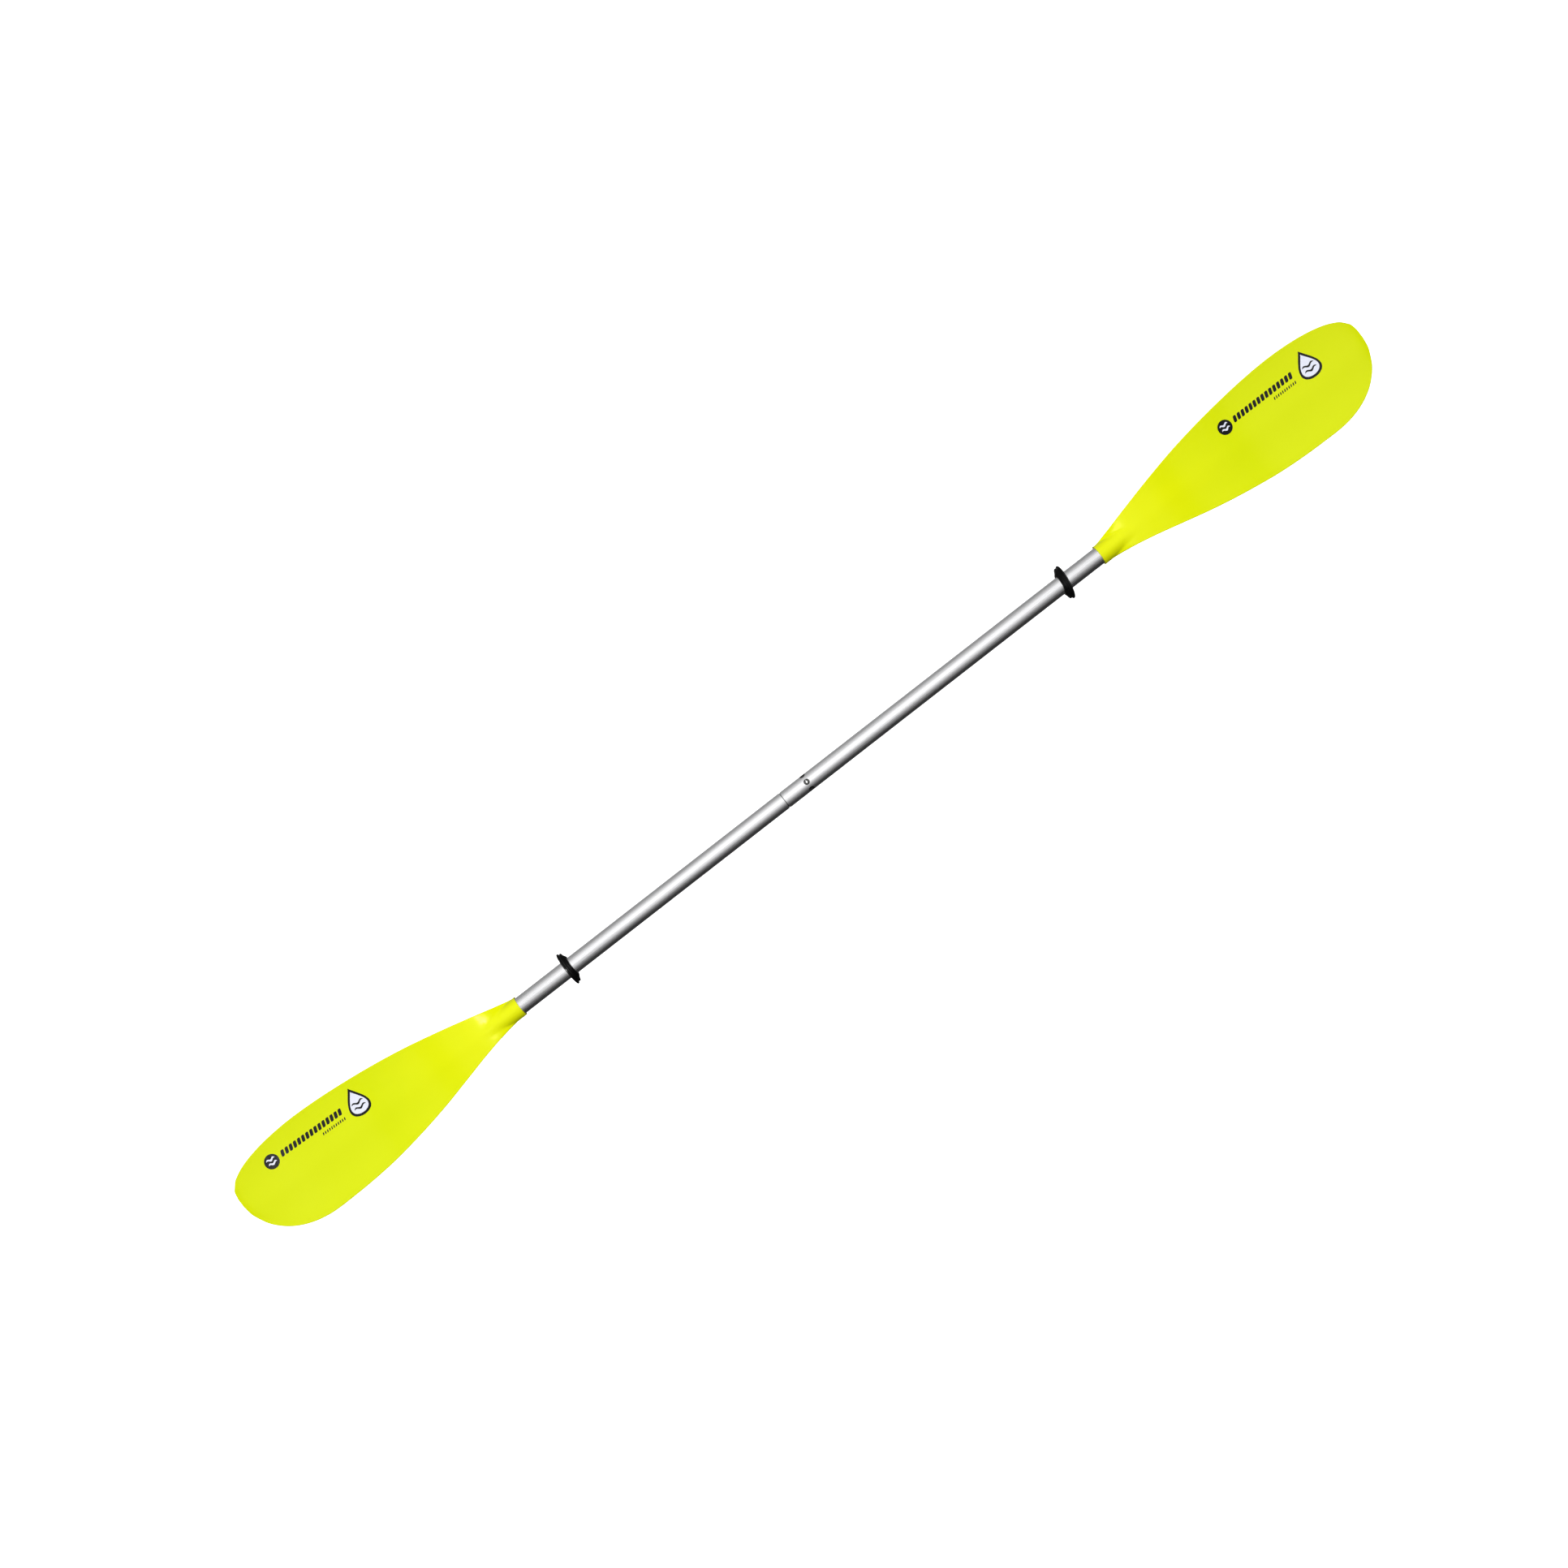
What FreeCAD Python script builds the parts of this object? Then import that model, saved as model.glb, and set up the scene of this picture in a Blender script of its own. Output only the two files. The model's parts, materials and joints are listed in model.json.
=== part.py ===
"""Two-piece kayak paddle, one STEP file for each separate piece, in millimetres.

The shaft lies along X with its middle at the origin. Y runs across the blades, towards their longer edge,
and Z points out of the power faces. The left half carries the ferrule and the spring button, and the right
half slides over the ferrule and is held by the button in one of three feather holes.
"""

import FreeCAD
import Part

import math
import os

V = FreeCAD.Vector
X_AXIS = V(1, 0, 0)
Z_AXIS = V(0, 0, 1)
ORIGIN = V(0, 0, 0)

# Shaft
paddle_length = 2200.0
shaft_r = 14.5
shaft_wall = 1.5
bore_r = shaft_r - shaft_wall
fit_gap = 0.05
seam_x = -50.0
seam_gap = 0.8
seam_chamfer = 0.4

# Ferrule, spring button and feather holes
ferrule_r = bore_r - fit_gap
ferrule_wall = 1.5
ferrule_bore_r = ferrule_r - ferrule_wall
ferrule_ends = (-150.0, 50.0)
button_x = -5.0
button_turn = -7.0
button_r = 4.5
button_hole_r = 4.9
button_step = 1.1
button_dome = 2.0
button_foot_z = 10.3
tenon_r = 2.0
feather_angles = (-60.0, 0.0, 60.0)
leaf_thickness = 0.8
leaf_width = 9.0
leaf_flat = 13.0
leaf_bend_x = -52.0
leaf_bend_r = 3.0
leaf_leg_z = -10.0

# Plugs inside the shaft
bulkhead_length = 22.0
end_plug_length = 20.0
end_plug_flange = 1.5

# Drip rings: where each flange's middle is, how the right one is canted, and the rubber's section as
# (distance from the flange's middle towards the paddle's middle, radius)
left_ring_x = -478.4
right_ring_x = 505.3
right_ring_cant = 8.0
right_ring_lean = 3.0
ring_section = [(-3.4, 0.0), (-3.4, 27.6), (-3.0, 28.4), (-2.3, 28.8), (-1.4, 28.7), (-0.8, 28.0), (-0.2, 26.8),
                (0.5, 26.2), (1.2, 26.2), (1.8, 26.6), (2.5, 26.8), (3.1, 26.5), (3.6, 25.7), (4.3, 23.4),
                (5.3, 21.0), (6.5, 19.3), (7.1, 18.3), (7.4, 17.2), (7.4, 0.0)]

# Blade socket
mouth_s = 574.5
socket_r = 17.0
socket_depth = 77.0
mouth_chamfer = 0.7
tube_end_s = mouth_s + socket_depth - end_plug_flange - 0.5

# Blade outline: distance along the shaft from its middle, and half-width to the longer and shorter edge
tip_s = paddle_length / 2
tip_y = 22.0
long_edge = [(580.0, 17.0), (603.0, 22.5), (643.0, 33.2), (703.0, 48.0), (763.0, 60.9), (823.0, 70.5),
             (883.0, 77.4), (927.0, 80.8), (962.0, 81.8)]
short_edge = [(591.0, 17.0), (623.0, 21.5), (663.0, 29.5), (703.0, 39.1), (763.0, 53.2), (823.0, 64.2),
              (883.0, 72.0), (932.0, 74.9), (977.0, 75.5)]
long_tip_power = (2.0, 0.328)
short_tip_power = (2.2, 0.5)

# Blade surface: height of the sheet's middle along the blade, and of the two sides of the spine
sheet_z = [(577.0, 0.0), (592.0, 2.9), (602.0, 7.0), (612.0, 10.1), (622.0, 12.5), (632.0, 14.3), (642.0, 15.6),
           (660.0, 16.6), (690.0, 16.5), (760.0, 15.0), (860.0, 15.0), (960.0, 20.0), (1100.0, 36.0)]
crest_z = [(640.0, 0.0), (662.0, -1.2), (720.0, -14.0)]
spine_height = [(655.0, 32.0), (700.0, 24.5), (760.0, 12.5), (830.0, 4.5), (900.0, 0.0), (1000.0, -4.0)]
spine_half_width = [(655.0, 17.0), (700.0, 15.5), (760.0, 12.5), (830.0, 9.0), (900.0, 7.0)]
ridge_slope = 0.062
ridge_round = 7.0
cup = 0.00125
sheet_half = 2.0
tip_half = 1.5
rim_half = 1.15
face_blend = 2.0
back_blend = 7.0
face_steps = 15

# Blind rivets: through each socket, and through the shaft into the ferrule
rivet_x = 600.0
ferrule_rivet_x = -100.0
rivet_r = 2.4
rivet_head_r = 4.6
rivet_head_height = 1.3
rivet_bulb_r = 3.2
rivet_bulb_length = 3.4
mandrel_r = 1.2


def rod(radius, x0, x1):
    """A round bar along the shaft's axis."""
    return Part.makeCylinder(radius, x1 - x0, V(x0, 0, 0), X_AXIS)


def tube(outer, inner, x0, x1):
    """A round tube along the shaft's axis."""
    return rod(outer, x0, x1).cut(rod(inner, x0 - 1, x1 + 1))


def turned(points, axis):
    """A turned solid: points are (along the axis, radius), and the axis is X or Z through the origin."""
    along_x = axis == X_AXIS
    corners = [V(a, 0, r) if along_x else V(r, 0, a) for a, r in points]
    face = Part.Face(Part.makePolygon(corners + corners[:1]))
    return face.revolve(ORIGIN, axis, 360)


def radial_hole(radius, x, angle, z0, z1):
    """A drill along the radius at an angle from +Z, turned about the shaft's axis."""
    drill = Part.makeCylinder(radius, z1 - z0, V(x, 0, z0), Z_AXIS)
    drill.rotate(ORIGIN, X_AXIS, angle)
    return drill


def mirrored(shape):
    """The same shape for the other end of the paddle."""
    return shape.mirror(ORIGIN, X_AXIS)


def save(name, shape):
    """Write one piece, after checking that it is a sound closed solid."""
    solids = shape.Solids
    sound = all(s.isValid() and s.Volume > 0 for s in solids)
    print(f"{name}: {len(solids)} solid, {shape.Volume / 1000:.2f} cm3, sound {sound}")
    target = solids[0] if len(solids) == 1 else Part.makeCompound(solids)
    target.exportStep(f"parts/{name}.step")


def through(points, s):
    """A smooth curve through (station, value) points, level past both ends of the list."""
    if s <= points[0][0]:
        return points[0][1]
    if s >= points[-1][0]:
        return points[-1][1]
    k = max(i for i in range(len(points) - 1) if points[i][0] <= s)
    (s0, v0), (s1, v1) = points[k], points[k + 1]
    span = s1 - s0
    rise = (v1 - v0) / span

    def tangent(i):
        if i == 0 or i == len(points) - 1:
            return 0.0
        before = (points[i][1] - points[i - 1][1]) / (points[i][0] - points[i - 1][0])
        after = (points[i + 1][1] - points[i][1]) / (points[i + 1][0] - points[i][0])
        return 0.0 if before * after <= 0 else 2 * before * after / (before + after)

    m0 = tangent(k) if k else rise * 0.6
    m1 = tangent(k + 1)
    t = (s - s0) / span
    return (v0 * (1 + 2 * t) * (1 - t) ** 2 + v1 * t * t * (3 - 2 * t)
            + span * (m0 * t * (1 - t) ** 2 - m1 * t * t * (1 - t)))


def edge_y(s, side):
    """Where the blade's outline lies at station s: side 1 is the longer edge, and -1 the shorter."""
    points, power = (long_edge, long_tip_power) if side > 0 else (short_edge, short_tip_power)
    widest_s, widest = points[-1]
    if s <= widest_s:
        return side * through(points, s)
    share = (s - widest_s) / (tip_s - widest_s)
    return tip_y + (side * widest - tip_y) * (1 - share ** power[0]) ** power[1]


def smooth_max(a, b, size):
    """The larger of a and b, with a rounded valley where they cross."""
    near = max(size - abs(a - b), 0.0) / size
    return max(a, b) + near * near * size / 4


def dome(u):
    """Height of a unit circle at u, carried on as a steep straight line past its shoulder."""
    shoulder = 0.96
    if abs(u) <= shoulder:
        return math.sqrt(1 - u * u)
    top = math.sqrt(1 - shoulder ** 2)
    return top - shoulder / top * (abs(u) - shoulder)


def blade_heights(s, y, across):
    """Heights of the power face and the back face at station s and distance y from the shaft's axis.

    across runs from 0 at the middle of the sheet to 1 at its edge, and thins the sheet towards the edge.
    """
    share = (s - mouth_s) / (tip_s - mouth_s)
    centre_half = sheet_half + (tip_half - sheet_half) * share
    half = rim_half + (centre_half - rim_half) * (1 - across ** 2)
    grown = min(max((s - 600.0) / 90.0, 0.0), 1.0)
    ridge = ridge_slope * (ridge_round - math.hypot(y, ridge_round)) + cup * y * y
    middle = through(sheet_z, s) + grown * ridge
    crest = through(crest_z, s) + socket_r * dome(y / socket_r)
    width = through(spine_half_width, s)
    height = min(through(spine_height, s), socket_r + through(sheet_z, s))
    back = height - through(sheet_z, s) - width + width * dome(y / width)
    started = min(max((s - mouth_s) / 25.0, 0.0), 1.0)
    power_face = smooth_max(middle + half, crest, 0.5 + face_blend * started)
    back_face = smooth_max(half - middle, back, 0.5 + back_blend * started)
    return power_face, -back_face


def blade_section(s):
    """Points of the blade's section at station s: power face, longer edge, back face and shorter edge."""
    y_long, y_short = edge_y(s, 1), edge_y(s, -1)
    rim = min(0.07 + max(s - 577.0, 0.0) * 0.05, 1.0)
    half = (y_long - y_short) / 2 - rim
    middle = (y_long + y_short) / 2
    focus = middle * min(max((s - 900.0) / 150.0, 0.0), 1.0)
    spread = min(max((half - 17.0) / 20.0, 0.0), 1.0)
    top, bottom = [], []
    for k in range(-face_steps, face_steps + 1):
        t = k / face_steps
        round_step = math.sin(math.pi * t / 2)
        wide_step = 0.36 * t + 0.64 * t ** 3
        y = half * (round_step + (wide_step - round_step) * spread) + middle * t * t + focus * (1 - t * t)
        high, low = blade_heights(s, y, abs(t))
        top.append(V(s, y, high))
        bottom.append(V(s, y, low))
    edges = []
    for sign, upper, lower in ((1, top[-1], bottom[-1]), (-1, top[0], bottom[0])):
        centre = (upper + lower) / 2
        half_edge = (upper.z - lower.z) / 2
        turns = [math.pi / 2 - math.pi * k / 4 for k in range(5)]
        edges.append([V(s, centre.y + sign * rim * math.cos(a), centre.z + half_edge * math.sin(a)) for a in turns])
    return [top, edges[0], bottom, edges[1]]


def smooth_curve(points, parameters):
    """A cubic spline through the points."""
    curve = Part.BSplineCurve()
    curve.interpolate(Points=points, Parameters=parameters)
    return curve


def skin(rows, stations):
    """A smooth face through rows of points, one row for each station."""
    steps = [float(k) for k in range(len(rows[0]))]
    across = [smooth_curve(row, steps) for row in rows]
    columns = zip(*[curve.getPoles() for curve in across])
    along = [smooth_curve(list(column), stations) for column in columns]
    surface = Part.BSplineSurface()
    surface.buildFromPolesMultsKnots([curve.getPoles() for curve in along], across[0].getMultiplicities(),
                                     along[0].getMultiplicities(), across[0].getKnots(), along[0].getKnots(),
                                     False, False, 3, 3)
    return surface.toShape()


def blade_stations():
    """Stations of the blade's sections: close together where the neck changes and at the round tip."""
    stations = [mouth_s]
    while stations[-1] < 960.0:
        step = 5.5 + 0.28 * max(stations[-1] - 645.0, 0.0)
        stations.append(stations[-1] + min(step, 32.0))
    tip = [tip_s - 106.0 * (1 - k / 9) ** 2 for k in range(9)]
    return stations + tip + [tip_s - 0.25]


def right_blade():
    """The moulded blade with its socket, bored for the shaft and drilled for its rivet."""
    stations = blade_stations()
    sections = [blade_section(s) for s in stations]
    faces = [skin([section[k] for section in sections], stations) for k in range(4)]
    for end in (sections[0], sections[-1]):
        edges = [smooth_curve(line, [float(k) for k in range(len(line))]).toShape() for line in end]
        faces.append(Part.Face(Part.Wire(Part.sortEdges(edges)[0])))
    shell = Part.makeShell(faces)
    shell.sewShape()
    body = Part.makeSolid(shell)
    corner = turned([(mouth_s - 1, socket_r - mouth_chamfer), (mouth_s, socket_r - mouth_chamfer),
                     (mouth_s + mouth_chamfer, socket_r), (mouth_s + mouth_chamfer, socket_r + 1),
                     (mouth_s - 1, socket_r + 1)], X_AXIS)
    body = body.cut(corner).cut(rod(shaft_r + fit_gap, mouth_s - 1, mouth_s + socket_depth))
    return body.cut(rivet_cutter(rivet_x, socket_r))


def rivet_seat(outer_r):
    """Distance from the axis to the flat that a rivet's head sits on."""
    return math.sqrt(outer_r ** 2 - rivet_head_r ** 2)


def rivet_cutter(x, outer_r):
    """The hole and the flat seat for a blind rivet on the back of the shaft."""
    seat = rivet_seat(outer_r)
    hole = radial_hole(rivet_r + fit_gap, x, 180, 5, seat + 1)
    flat = radial_hole(rivet_head_r + 0.1, x, 180, seat, seat + 8)
    return hole.fuse(flat)


def blind_rivet(x, outer_r, inner_r):
    """A set blind rivet: its hollow body and what is left of its mandrel, on the back of the shaft."""
    seat = rivet_seat(outer_r)
    bulb = inner_r - 0.15
    foot = bulb - rivet_bulb_length
    crown = seat + rivet_head_height
    core = mandrel_r + fit_gap
    body = turned([(foot, core), (foot, 2.6), (foot + 0.8, rivet_bulb_r), (bulb - 0.6, rivet_bulb_r),
                   (bulb, rivet_r), (seat, rivet_r), (seat, rivet_head_r), (seat + 0.4, rivet_head_r),
                   (seat + 0.95, rivet_head_r * 0.72), (crown, rivet_head_r * 0.36), (crown, core)], Z_AXIS)
    stem = turned([(foot - 1.6, 0), (foot - 1.2, 1.7), (foot - 0.05, 2.2), (foot - 0.05, mandrel_r),
                   (crown - 0.5, mandrel_r), (crown - 0.3, 0)], Z_AXIS)
    for piece in (body, stem):
        piece.rotate(ORIGIN, X_AXIS, 180)
        piece.translate(V(x, 0, 0))
    return body, stem


def shaft_tube(x0, x1, seam_at_start):
    """One half of the shaft, with a small chamfer on the end that meets the other half."""
    outer = [(x0 + seam_chamfer * seam_at_start, shaft_r), (x1 - seam_chamfer * (not seam_at_start), shaft_r)]
    seam = [(x0, shaft_r - seam_chamfer)] if seam_at_start else [(x1, shaft_r - seam_chamfer)]
    loop = seam + outer if seam_at_start else outer + seam
    return turned([(x0, bore_r)] + loop + [(x1, bore_r)], X_AXIS)


def left_shaft_tube():
    """The shaft half that holds the ferrule."""
    body = shaft_tube(-tube_end_s, seam_x - seam_gap / 2, False)
    body = body.cut(rivet_cutter(ferrule_rivet_x, shaft_r))
    return body.cut(radial_hole(rivet_r + fit_gap, -rivet_x, 180, 5, 20))


def right_shaft_tube():
    """The shaft half that slides over the ferrule, with its three feather holes."""
    body = shaft_tube(seam_x + seam_gap / 2, tube_end_s, True)
    body = body.cut(radial_hole(rivet_r + fit_gap, rivet_x, 180, 5, 20))
    for angle in feather_angles:
        body = body.cut(radial_hole(button_hole_r, button_x, button_turn + angle, 5, 20))
    return body


def ferrule():
    """The inner tube fixed in the left half, bevelled where the right half slides on."""
    x0, x1 = ferrule_ends
    bevel = 1.0
    body = turned([(x0, ferrule_bore_r), (x0, ferrule_r), (x1 - 3 * bevel, ferrule_r),
                   (x1, ferrule_r - bevel), (x1, ferrule_bore_r)], X_AXIS)
    body = body.cut(radial_hole(button_r + 0.15, button_x, button_turn, 5, 20))
    return body.cut(radial_hole(rivet_r + fit_gap, ferrule_rivet_x, 180, 5, 20))


def snap_button():
    """The domed button with the tenon that holds it to its leaf spring."""
    shoulder = shaft_r + button_step
    crown = shoulder + button_dome
    ball_r = (button_r ** 2 + button_dome ** 2) / (2 * button_dome)
    waist = math.asin(button_r / ball_r) / 2
    on_dome = V(ball_r * math.sin(waist), 0, crown - ball_r + ball_r * math.cos(waist))
    foot = button_foot_z - leaf_thickness - 0.5
    corners = [V(0, 0, foot), V(tenon_r, 0, foot), V(tenon_r, 0, button_foot_z),
               V(button_r, 0, button_foot_z), V(button_r, 0, shoulder)]
    edges = [Part.makeLine(a, b) for a, b in zip(corners, corners[1:])]
    edges.append(Part.Arc(corners[-1], on_dome, V(0, 0, crown)).toShape())
    edges.append(Part.makeLine(V(0, 0, crown), corners[0]))
    button = Part.Face(Part.Wire(edges)).revolve(ORIGIN, Z_AXIS, 360)
    button.translate(V(button_x, 0, 0))
    button.rotate(ORIGIN, X_AXIS, button_turn)
    return button


def button_spring():
    """The bent leaf that pushes the button out, lying in the ferrule."""
    flat_z = button_foot_z - leaf_thickness / 2
    steps = 10
    bend_z = leaf_leg_z + leaf_bend_r
    path = [(button_x + leaf_flat / 2, flat_z), (button_x - leaf_flat / 2, flat_z)]
    for k in range(1, steps + 1):
        turn = math.radians(105 + 165 * k / steps)
        path.append((leaf_bend_x + leaf_bend_r * math.cos(turn), bend_z + leaf_bend_r * math.sin(turn)))
    path.append((button_x + 9.0, leaf_leg_z))
    sides = []
    for k, (x, z) in enumerate(path):
        before = path[max(k - 1, 0)]
        after = path[min(k + 1, len(path) - 1)]
        run = V(after[0] - before[0], 0, after[1] - before[1]).normalize()
        normal = V(-run.z, 0, run.x) * (leaf_thickness / 2)
        sides.append((V(x, 0, z) + normal, V(x, 0, z) - normal))
    outline = [a for a, _ in sides] + [b for _, b in reversed(sides)]
    face = Part.Face(Part.makePolygon(outline + outline[:1]))
    face.translate(V(0, -leaf_width / 2, 0))
    leaf = face.extrude(V(0, leaf_width, 0))
    leaf = leaf.cut(radial_hole(tenon_r + fit_gap, button_x, 0, 5, 12))
    leaf.rotate(ORIGIN, X_AXIS, button_turn)
    return leaf


def bulkhead(radius, x0):
    """A soft plug that keeps water out of one half of the shaft."""
    x1 = x0 + bulkhead_length
    return turned([(x0, 0), (x0, radius - 1), (x0 + 1, radius), (x1 - 1, radius), (x1, radius - 1), (x1, 0)],
                  X_AXIS)


def right_end_plug():
    """The flanged plug in the shaft's outer end, inside the blade's socket."""
    x1 = tube_end_s
    x0 = x1 - end_plug_length
    return turned([(x0, 0), (x0, bore_r - 1.2), (x0 + 2, bore_r - fit_gap), (x1, bore_r - fit_gap),
                   (x1, shaft_r - 0.2), (x1 + end_plug_flange, shaft_r - 0.7), (x1 + end_plug_flange, 0)],
                  X_AXIS)


def drip_ring(x, blade_side, cant, lean):
    """A rubber drip ring: a two-lipped flange, with a short hub on the side away from the blade."""
    ring = turned([(-blade_side * a, r) for a, r in ring_section], X_AXIS)
    ring.rotate(ORIGIN, Z_AXIS, -cant)
    ring.rotate(ORIGIN, V(0, 1, 0), lean)
    ring.translate(V(x, 0, 0))
    return ring.cut(rod(shaft_r + fit_gap, x - 30, x + 30))


os.makedirs("parts", exist_ok=True)
blade = right_blade()
save("right_blade", blade)
save("left_blade", mirrored(blade))
save("left_shaft_tube", left_shaft_tube())
save("right_shaft_tube", right_shaft_tube())
save("ferrule", ferrule())
save("snap_button", snap_button())
save("button_spring", button_spring())
save("left_bulkhead_plug", bulkhead(ferrule_bore_r - fit_gap, ferrule_ends[0] + 2))
save("right_bulkhead_plug", bulkhead(bore_r - fit_gap, ferrule_ends[1] + 6))
save("right_end_plug", right_end_plug())
save("left_end_plug", mirrored(right_end_plug()))
save("left_drip_ring", drip_ring(left_ring_x, -1, 0, 0))
save("right_drip_ring", drip_ring(right_ring_x, 1, right_ring_cant, right_ring_lean))
for place, rivet_at, outer in (("right_blade", rivet_x, socket_r), ("left_blade", -rivet_x, socket_r),
                               ("ferrule", ferrule_rivet_x, shaft_r)):
    inner_wall = ferrule_bore_r if place == "ferrule" else bore_r
    shell, mandrel = blind_rivet(rivet_at, outer, inner_wall)
    save(f"{place}_rivet", shell)
    save(f"{place}_rivet_mandrel", mandrel)
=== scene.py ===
"""Looks of the kayak paddle, in metres: materials, marks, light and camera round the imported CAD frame."""

import json
import math

import bmesh
import bpy
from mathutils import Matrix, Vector
from mathutils.bvhtree import BVHTree

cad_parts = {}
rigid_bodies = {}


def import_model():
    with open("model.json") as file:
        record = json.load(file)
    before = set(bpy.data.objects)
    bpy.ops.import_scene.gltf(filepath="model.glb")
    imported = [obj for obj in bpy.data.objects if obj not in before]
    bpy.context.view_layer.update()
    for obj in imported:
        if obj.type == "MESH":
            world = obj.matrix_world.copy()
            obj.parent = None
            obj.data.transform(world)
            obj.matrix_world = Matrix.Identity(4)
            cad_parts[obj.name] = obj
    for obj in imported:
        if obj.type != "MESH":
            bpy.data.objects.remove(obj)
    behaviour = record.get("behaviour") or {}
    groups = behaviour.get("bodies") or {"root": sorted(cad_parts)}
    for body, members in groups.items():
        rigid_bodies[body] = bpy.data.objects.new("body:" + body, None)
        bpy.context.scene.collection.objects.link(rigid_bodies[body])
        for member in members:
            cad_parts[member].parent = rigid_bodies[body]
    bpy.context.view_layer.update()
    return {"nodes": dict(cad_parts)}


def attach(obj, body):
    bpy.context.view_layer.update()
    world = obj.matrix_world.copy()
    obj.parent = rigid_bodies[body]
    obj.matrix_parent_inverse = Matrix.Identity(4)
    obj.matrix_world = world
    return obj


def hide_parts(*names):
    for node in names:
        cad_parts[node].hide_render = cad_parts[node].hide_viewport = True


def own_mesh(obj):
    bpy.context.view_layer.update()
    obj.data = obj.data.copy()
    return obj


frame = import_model()
nodes = frame["nodes"]

# Camera: straight down on the power faces, turned so that the paddle runs up to the right
view_turn = math.radians(37.88)
camera_height = 3.7486
camera_side = 0.04036
camera_drop = 0.00514
lens_mm = 54.91
sensor_mm = 36.0

# Printed marks on the power faces: each row starts at its disc's centre and runs towards +X
mark_starts = {"left": (-1.024, 0.0462, -0.040), "right": (0.850, 0.0375, -0.002)}
mark_lift = 0.00008
mark_edge = 0.0025
mark_cuts = 4
disc_r = 0.0120
disc_ripple_size = (0.0150, 0.0034, 0.0013)
disc_ripple_ys = (0.0038, -0.0032)
bar_count = 15
bar_first = 0.0205
bar_step = 0.00765
bar_y = 0.0012
bar_size = (0.0056, 0.0104)
tick_count = 11
tick_first = 0.0880
tick_step = 0.0040
tick_y = -0.0118
tick_size = (0.0019, 0.0046)
bar_lean = 0.30
drop_x = 0.1585
drop_size = (0.0520, 0.0480)
drop_rim = 0.0052
drop_inner_y = -0.0012
drop_ripple_size = (0.0215, 0.0034, 0.0016)
drop_ripple_ys = (-0.0025, -0.0105)

# Blade plastic: where its colour starts and stops changing, from the middle of the shaft, and its colours
colour_start = 0.57
colour_end = 1.10
flow_share = 0.25
blade_colours = [
    (0.0, (0.73, 0.77, 0.002)),
    (0.30, (0.73, 0.78, 0.001)),
    (0.62, (0.655, 0.745, 0.001)),
    (1.0, (0.65, 0.735, 0.001)),
]

# World: brightness against the angle from +Z towards +Y in degrees, and a share of it against abs(X)
world_levels = [
    (-180, 0.10), (-110, 0.03), (-84, 0.05), (-56, 0.22), (-32, 0.63), (-14, 1.10), (4, 1.54),
    (36, 1.48), (54, 1.05), (80, 0.60), (112, 0.33), (150, 0.40), (180, 0.10),
]
world_fade = [(0.19, 1.0), (0.26, 0.04), (0.8, 0.20)]

# Floor and lights
floor_height = -0.10
floor_size = 14
softbox_place = (-0.2, 0.0, 3.0)
softbox_size = (0.36, 0.42)
softbox_watts = 57.0
softbox_misses = ("tube", "ferrule")
broad_strength = 0.85
broad_angle = math.radians(35)
broad_tilt = math.radians(46)


def shader(material):
    """The material's Principled shader."""
    return next(n for n in material.node_tree.nodes if n.type == "BSDF_PRINCIPLED")


def start_material(name, metallic, roughness):
    """A new material with its node tree, links and Principled shader."""
    material = bpy.data.materials.new(name)
    material.use_nodes = True
    surface = shader(material)
    surface.inputs["Metallic"].default_value = metallic
    surface.inputs["Roughness"].default_value = roughness
    return material, material.node_tree, surface


def object_noise(tree, scale, stretch=(1, 1, 1), detail=3.0):
    """Noise in the piece's own coordinates, stretched along its axes; returns the noise node."""
    place = tree.nodes.new("ShaderNodeTexCoord")
    mapping = tree.nodes.new("ShaderNodeMapping")
    mapping.inputs["Scale"].default_value = stretch
    noise = tree.nodes.new("ShaderNodeTexNoise")
    noise.inputs["Scale"].default_value = scale
    noise.inputs["Detail"].default_value = detail
    tree.links.new(place.outputs["Object"], mapping.inputs["Vector"])
    tree.links.new(mapping.outputs["Vector"], noise.inputs["Vector"])
    return noise


def ramp(tree, source, stops):
    """A colour ramp over a value: stops are (place, (r, g, b))."""
    node = tree.nodes.new("ShaderNodeValToRGB")
    elements = node.color_ramp.elements
    while len(elements) < len(stops):
        elements.new(0.5)
    for element, (place, colour) in zip(elements, stops):
        element.position = place
        element.color = (*colour, 1)
    tree.links.new(source, node.inputs["Fac"])
    return node.outputs["Color"]


def vary(tree, source, low, high, target):
    """Runs a shader value from low to high with the source."""
    node = tree.nodes.new("ShaderNodeMapRange")
    node.inputs["To Min"].default_value = low
    node.inputs["To Max"].default_value = high
    node.inputs["From Min"].default_value = 0.3
    node.inputs["From Max"].default_value = 0.7
    tree.links.new(source, node.inputs["Value"])
    tree.links.new(node.outputs["Result"], target)


def bump(tree, surface, source, distance, strength):
    """Raises the surface by the source, as far as distance in metres."""
    node = tree.nodes.new("ShaderNodeBump")
    node.inputs["Distance"].default_value = distance
    node.inputs["Strength"].default_value = strength
    tree.links.new(source, node.inputs["Height"])
    tree.links.new(node.outputs["Normal"], surface.inputs["Normal"])


def plain(name, dark, light, metallic, roughness, scale=400.0, grain=0.00002):
    """A material with a fine grain that varies its colour, gloss and surface a little."""
    material, tree, surface = start_material(name, metallic, roughness)
    noise = object_noise(tree, scale)
    colour = ramp(tree, noise.outputs["Fac"], [(0.3, dark), (0.7, light)])
    tree.links.new(colour, surface.inputs["Base Color"])
    vary(tree, noise.outputs["Fac"], roughness * 0.85, roughness * 1.15, surface.inputs["Roughness"])
    bump(tree, surface, noise.outputs["Fac"], grain, 0.5)
    return material


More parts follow.
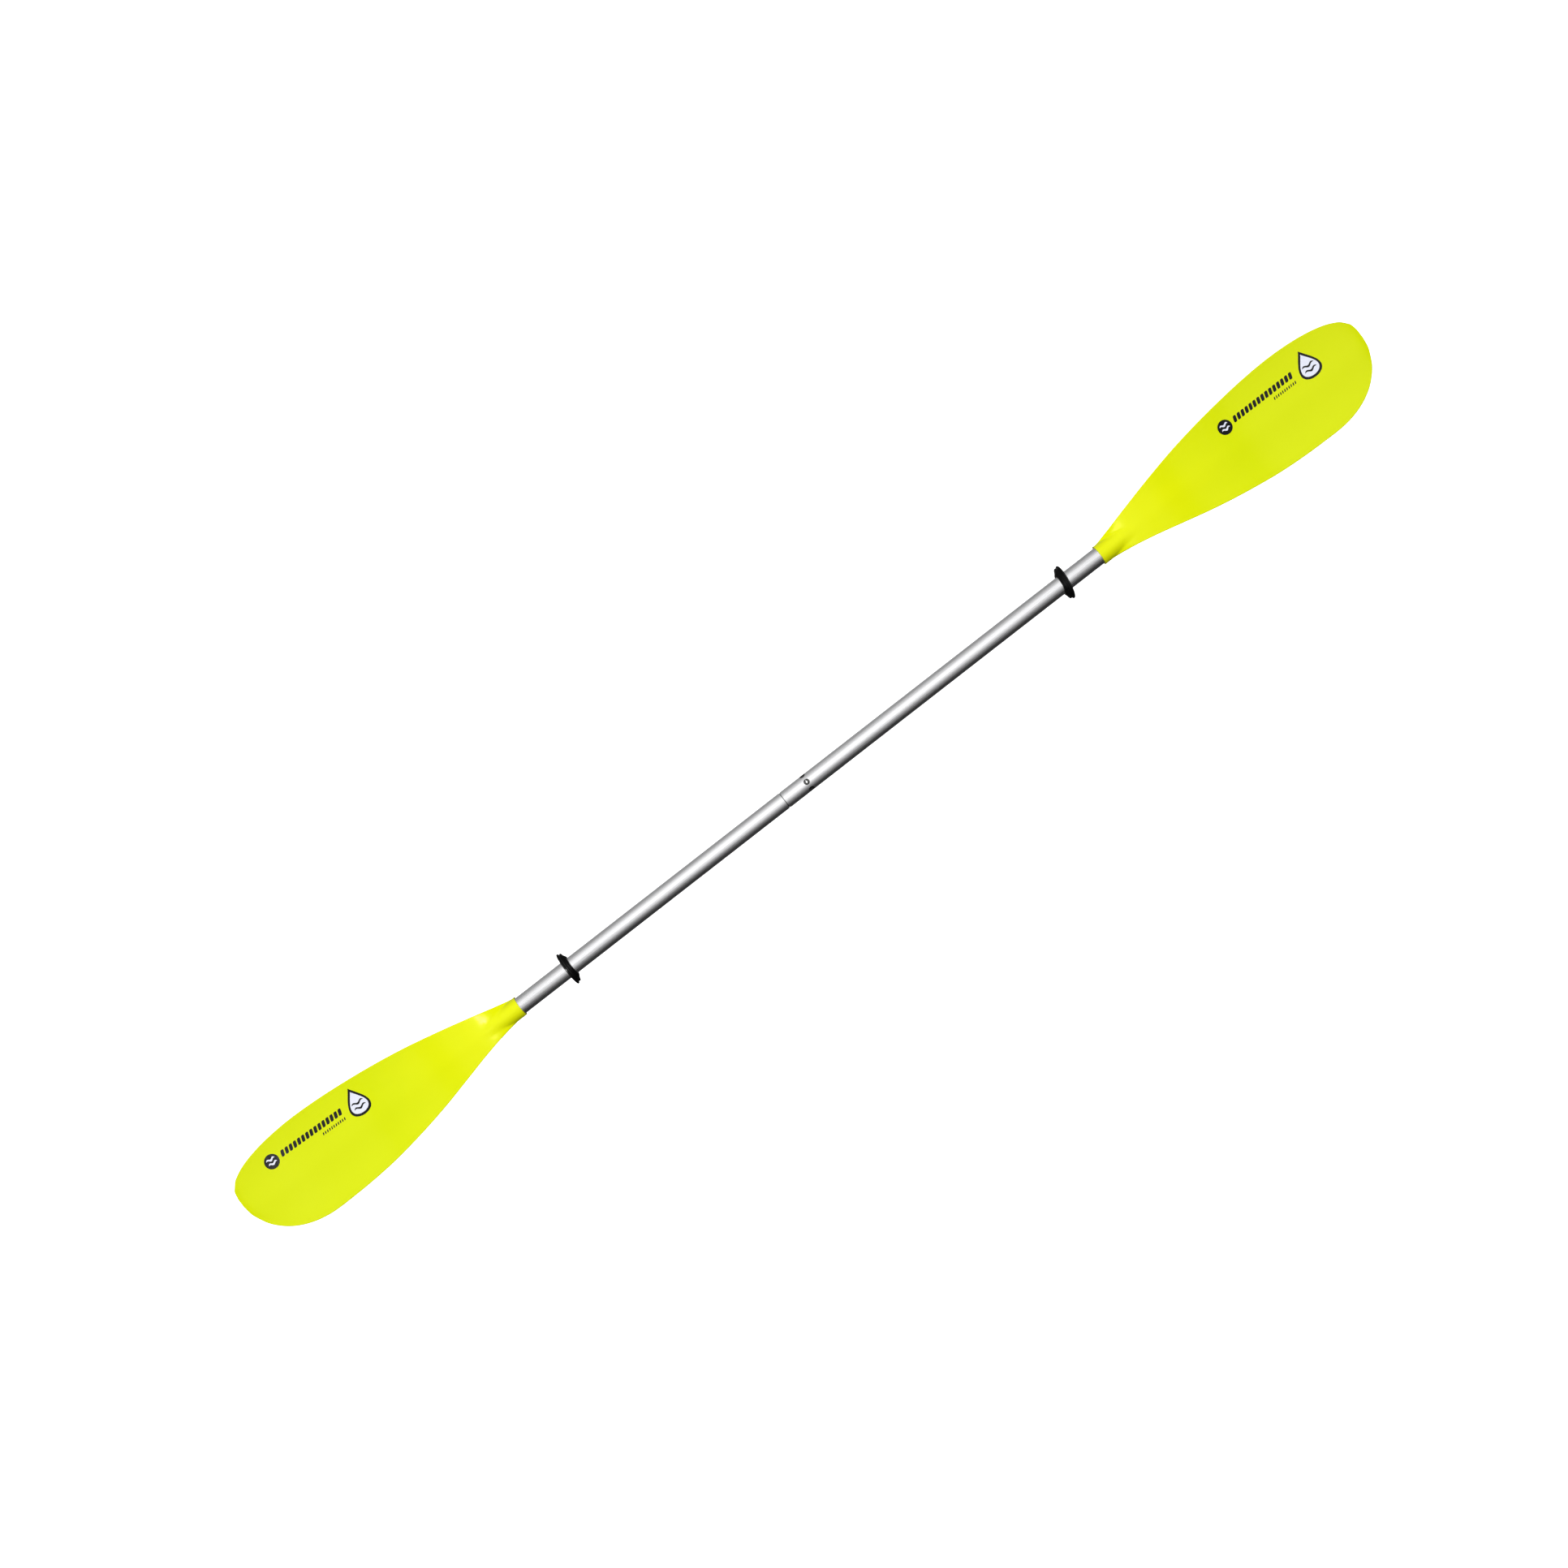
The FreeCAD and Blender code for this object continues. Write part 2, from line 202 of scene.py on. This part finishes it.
def blade_plastic():
    """Bright yellow moulded plastic: warmer at the neck, with soft flow marks and a faint moulded grain."""
    material, tree, surface = start_material("blade_plastic", 0.0, 0.3)
    place = tree.nodes.new("ShaderNodeTexCoord")
    split = tree.nodes.new("ShaderNodeSeparateXYZ")
    tree.links.new(place.outputs["Object"], split.inputs["Vector"])
    distance = tree.nodes.new("ShaderNodeMath")
    distance.operation = "ABSOLUTE"
    tree.links.new(split.outputs["X"], distance.inputs[0])
    along = tree.nodes.new("ShaderNodeMapRange")
    along.inputs["From Min"].default_value = colour_start
    along.inputs["From Max"].default_value = colour_end
    tree.links.new(distance.outputs["Value"], along.inputs["Value"])
    flow = object_noise(tree, 9.0, (1, 2.2, 2.2), 2.0)
    mixed = tree.nodes.new("ShaderNodeMath")
    mixed.operation = "MULTIPLY_ADD"
    mixed.inputs[1].default_value = flow_share
    tree.links.new(flow.outputs["Fac"], mixed.inputs[0])
    tree.links.new(along.outputs["Result"], mixed.inputs[2])
    colour = ramp(tree, mixed.outputs["Value"], blade_colours)
    tree.links.new(colour, surface.inputs["Base Color"])
    grain = object_noise(tree, 900.0)
    vary(tree, grain.outputs["Fac"], 0.11, 0.15, surface.inputs["Roughness"])
    bump(tree, surface, grain.outputs["Fac"], 0.00001, 0.35)
    surface.inputs["Specular IOR Level"].default_value = 0.35
    surface.inputs["Specular Tint"].default_value = (1.0, 1.0, 0.32, 1)
    surface.inputs["Subsurface Weight"].default_value = 0.08
    surface.inputs["Subsurface Radius"].default_value = (0.004, 0.004, 0.0005)
    surface.inputs["Subsurface Scale"].default_value = 1.0
    return material


def drawn_aluminium():
    """Drawn and anodised tube: satin metal with fine lines along its length."""
    material, tree, surface = start_material("drawn_aluminium", 1.0, 0.27)
    lines = object_noise(tree, 900.0, (0.02, 1, 1), 4.0)
    colour = ramp(tree, lines.outputs["Fac"], [(0.25, (0.80, 0.80, 0.81)), (0.75, (0.88, 0.88, 0.89))])
    tree.links.new(colour, surface.inputs["Base Color"])
    vary(tree, lines.outputs["Fac"], 0.25, 0.30, surface.inputs["Roughness"])
    bump(tree, surface, lines.outputs["Fac"], 0.000004, 0.25)
    return material


def paint(name, material):
    """Gives one CAD node its material."""
    piece = nodes[name]
    piece.data.materials.clear()
    piece.data.materials.append(material)


def ground(name):
    """Returns a function that gives the height of a blade's power face at x and y."""
    mesh = nodes[name].data
    tree = BVHTree.FromPolygons([v.co for v in mesh.vertices], [p.vertices for p in mesh.polygons])

    def height(x, y):
        hit = tree.ray_cast(Vector((x, y, 0.2)), Vector((0, 0, -1)))
        return hit[0].z
    return height


def mark(name, loops, side, layer, material):
    """A thin printed mark: filled flat loops, cut fine, then laid on the blade's power face."""
    x0, y0, turn = mark_starts[side]
    c, s = math.cos(turn), math.sin(turn)
    height = ground(f"{side}_blade")
    cut = bmesh.new()
    for loop in loops:
        cut.faces.new([cut.verts.new((x, y, 0)) for x, y in loop])
    bmesh.ops.triangulate(cut, faces=cut.faces[:])
    for _ in range(mark_cuts):
        long_edges = [e for e in cut.edges if e.calc_length() > mark_edge]
        if long_edges:
            bmesh.ops.subdivide_edges(cut, edges=long_edges, cuts=1)
            bmesh.ops.triangulate(cut, faces=cut.faces[:])
    for vertex in cut.verts:
        x = x0 + c * vertex.co.x - s * vertex.co.y
        y = y0 + s * vertex.co.x + c * vertex.co.y
        vertex.co = (x, y, height(x, y) + mark_lift * layer)
    mesh = bpy.data.meshes.new(name)
    cut.to_mesh(mesh)
    cut.free()
    mesh.shade_smooth()
    mesh.materials.append(material)
    piece = bpy.data.objects.new(name, mesh)
    bpy.context.collection.objects.link(piece)
    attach(piece, f"{side}_half")


def circle(x, y, radius, count=48):
    """Points round a circle."""
    turns = [2 * math.pi * k / count for k in range(count)]
    return [(x + radius * math.cos(t), y + radius * math.sin(t)) for t in turns]


def bar(x, y, width, tall, lean, count=20):
    """Points round a leaning bar with soft corners."""
    points = []
    for k in range(count):
        t = 2 * math.pi * k / count
        across = math.copysign(abs(math.cos(t)) ** 0.5, math.cos(t)) * width / 2
        up = math.copysign(abs(math.sin(t)) ** 0.5, math.sin(t)) * tall / 2
        points.append((x + across + lean * up, y + up))
    return points


def drop(x, y, width, tall, count=64):
    """Points round a water drop that stands on its round end."""
    points = []
    for k in range(count):
        t = 2 * math.pi * k / count
        points.append((x - width / 2 * math.sin(t) * math.sin(t / 2) ** 1.5, y + tall / 2 * math.cos(t)))
    return points


def ripple(x, y, length, thick, swing, count=24):
    """Points round a wavy stripe that tapers to both ends."""
    def at(k, side):
        share = k / count
        wave = swing * math.sin(share * 3 * math.pi)
        return (x + (share - 0.5) * length, y + wave + side * thick / 2 * math.sin(math.pi * share) ** 0.5)
    return [at(k, -1) for k in range(count + 1)] + [at(k, 1) for k in range(count - 1, 0, -1)]


def print_marks(side, black, white):
    """A disc, a row of plain bars, a finer row under it and a drop, with ripples. None of it is lettering."""
    disc = circle(0, 0, disc_r)
    disc_ripples = [ripple(0, y, *disc_ripple_size) for y in disc_ripple_ys]
    bars = [bar(bar_first + k * bar_step, bar_y, *bar_size, bar_lean) for k in range(bar_count)]
    ticks = [bar(tick_first + k * tick_step, tick_y, *tick_size, bar_lean) for k in range(tick_count)]
    width, tall = drop_size
    rim = drop(drop_x, 0, width, tall)
    inner = drop(drop_x, drop_inner_y, width - 2 * drop_rim, tall - 2 * drop_rim)
    drop_ripples = [ripple(drop_x, y, *drop_ripple_size) for y in drop_ripple_ys]
    mark(f"{side}_print_disc", [disc], side, 1, black)
    mark(f"{side}_print_disc_ripples", disc_ripples, side, 2, white)
    mark(f"{side}_print_bars", bars + ticks, side, 1, black)
    mark(f"{side}_print_drop_rim", [rim], side, 1, black)
    mark(f"{side}_print_drop", [inner], side, 2, white)
    mark(f"{side}_print_drop_ripples", drop_ripples, side, 3, black)


def make_softbox():
    """A rectangular light over the paddle, aimed at its middle, that lights every piece but some by name."""
    data = bpy.data.lights.new("softbox", "AREA")
    data.shape = "RECTANGLE"
    data.size, data.size_y = softbox_size
    data.energy = softbox_watts
    softbox = bpy.data.objects.new("softbox", data)
    bpy.context.collection.objects.link(softbox)
    softbox.location = softbox_place
    softbox.rotation_euler = (-Vector(softbox_place)).to_track_quat("-Z", "Y").to_euler()
    softbox.visible_camera = False
    lit = bpy.data.collections.new("softbox_pieces")
    for piece in bpy.context.scene.objects:
        if piece.type == "MESH" and not any(word in piece.name for word in softbox_misses):
            lit.objects.link(piece)
    softbox.light_linking.receiver_collection = lit


def make_broad_light():
    """A soft sun from the +Y side that adds light without a reflection."""
    data = bpy.data.lights.new("broad", "SUN")
    data.energy = broad_strength
    data.angle = broad_angle
    broad = bpy.data.objects.new("broad", data)
    bpy.context.collection.objects.link(broad)
    broad.rotation_euler = (-broad_tilt, 0, 0)
    broad.visible_glossy = False


def make_world():
    """Soft studio surroundings: brightest above and towards +Y, grey on the +Y side, dark on the -Y side.

    The full brightness is only in a band across the shaft's middle, and the ends at -X and +X are dim.
    The camera sees plain white.
    """
    world = bpy.data.worlds.new("studio")
    bpy.context.scene.world = world
    world.use_nodes = True
    tree = world.node_tree
    links = tree.links
    background = next(n for n in tree.nodes if n.type == "BACKGROUND")
    place = tree.nodes.new("ShaderNodeTexCoord")
    split = tree.nodes.new("ShaderNodeSeparateXYZ")
    angle = tree.nodes.new("ShaderNodeMath")
    angle.operation = "ARCTAN2"
    share = tree.nodes.new("ShaderNodeMapRange")
    share.inputs["From Min"].default_value = -math.pi
    share.inputs["From Max"].default_value = math.pi
    links.new(place.outputs["Generated"], split.inputs["Vector"])
    links.new(split.outputs["Y"], angle.inputs[0])
    links.new(split.outputs["Z"], angle.inputs[1])
    links.new(angle.outputs["Value"], share.inputs["Value"])
    stops = [(degrees / 360 + 0.5, (level, level, level)) for degrees, level in world_levels]
    lit = ramp(tree, share.outputs["Result"], stops)
    sideways = tree.nodes.new("ShaderNodeMath")
    sideways.operation = "ABSOLUTE"
    links.new(split.outputs["X"], sideways.inputs[0])
    fade = ramp(tree, sideways.outputs["Value"], [(x, (level, level, level)) for x, level in world_fade])
    both = tree.nodes.new("ShaderNodeMix")
    both.data_type = "RGBA"
    both.blend_type = "MULTIPLY"
    both.inputs["Factor"].default_value = 1.0
    links.new(lit, both.inputs["A"])
    links.new(fade, both.inputs["B"])
    seen = tree.nodes.new("ShaderNodeLightPath")
    shown = tree.nodes.new("ShaderNodeMix")
    shown.data_type = "RGBA"
    shown.inputs["B"].default_value = (1, 1, 1, 1)
    links.new(seen.outputs["Is Camera Ray"], shown.inputs["Factor"])
    links.new(both.outputs["Result"], shown.inputs["A"])
    links.new(shown.outputs["Result"], background.inputs["Color"])
    background.inputs["Strength"].default_value = 1.0


def make_floor():
    """A plain pale floor, low enough to clear the blades at every feather angle."""
    bpy.ops.mesh.primitive_plane_add(size=floor_size, location=(0, 0, floor_height))
    floor = bpy.context.object
    floor.name = "floor"
    material, _, surface = start_material("floor", 0.0, 0.9)
    surface.inputs["Base Color"].default_value = (0.93, 0.93, 0.93, 1)
    surface.inputs["Emission Color"].default_value = (1, 1, 1, 1)
    surface.inputs["Emission Strength"].default_value = 1.0
    surface.inputs["Specular IOR Level"].default_value = 0.0
    floor.data.materials.append(material)
    floor.visible_glossy = False
    floor.visible_diffuse = False


def make_camera():
    """Looks straight down at a place a little off the paddle's middle."""
    data = bpy.data.cameras.new("camera")
    data.lens = lens_mm
    data.sensor_width = sensor_mm
    camera = bpy.data.objects.new("camera", data)
    bpy.context.collection.objects.link(camera)
    right = Vector((math.cos(view_turn), -math.sin(view_turn), 0))
    up = Vector((math.sin(view_turn), math.cos(view_turn), 0))
    camera.location = Vector((0, 0, camera_height)) - right * camera_side - up * camera_drop
    camera.rotation_euler = (0, 0, -view_turn)
    bpy.context.scene.camera = camera


def closing_spring(material):
    """The leaf spring as its own piece: a copy of the CAD spring, carried rigidly by the left half."""
    mesh = nodes["button_spring"].data.copy()
    mesh.materials.clear()
    mesh.materials.append(material)
    leaf = bpy.data.objects.new("leaf_spring", mesh)
    bpy.context.collection.objects.link(leaf)
    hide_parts("button_spring")
    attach(leaf, "left_half")
    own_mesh(leaf)


def paint_all():
    """Materials of every CAD node, and the printed marks."""
    yellow = blade_plastic()
    metal = drawn_aluminium()
    rubber = plain("ring_rubber", (0.002, 0.002, 0.002), (0.005, 0.005, 0.005), 0.0, 0.24, 700.0, 0.00002)
    shader(rubber).inputs["Specular IOR Level"].default_value = 0.35
    steel = plain("polished_steel", (0.46, 0.46, 0.45), (0.54, 0.54, 0.53), 1.0, 0.26, 500.0, 0.000004)
    black = plain("black_plastic", (0.015, 0.015, 0.015), (0.03, 0.03, 0.03), 0.0, 0.45)
    foam = plain("foam", (0.10, 0.10, 0.10), (0.2, 0.2, 0.2), 0.0, 0.85, 900.0, 0.0002)
    rivet = plain("rivet_metal", (0.66, 0.66, 0.67), (0.76, 0.76, 0.77), 1.0, 0.3, 600.0, 0.00001)
    stem = plain("mandrel_steel", (0.36, 0.36, 0.36), (0.46, 0.46, 0.46), 1.0, 0.4, 600.0, 0.00001)
    ink = plain("black_ink", (0.001, 0.001, 0.001), (0.004, 0.004, 0.006), 0.0, 0.2, 900.0, 0.000003)
    shader(ink).inputs["Specular IOR Level"].default_value = 0.2
    pale_ink = plain("pale_ink", (0.68, 0.70, 0.82), (0.80, 0.82, 0.92), 0.0, 0.2, 900.0, 0.000003)
    for side in ("left", "right"):
        paint(f"{side}_blade", yellow)
        paint(f"{side}_shaft_tube", metal)
        paint(f"{side}_drip_ring", rubber)
        paint(f"{side}_bulkhead_plug", foam)
        paint(f"{side}_end_plug", black)
        paint(f"{side}_blade_rivet", rivet)
        paint(f"{side}_blade_rivet_mandrel", stem)
        print_marks(side, ink, pale_ink)
    paint("ferrule", black)
    paint("snap_button", steel)
    closing_spring(steel)
    paint("ferrule_rivet", rivet)
    paint("ferrule_rivet_mandrel", stem)


paint_all()
make_world()
make_floor()
make_camera()
make_softbox()
make_broad_light()
bpy.context.scene.view_settings.view_transform = "Standard"
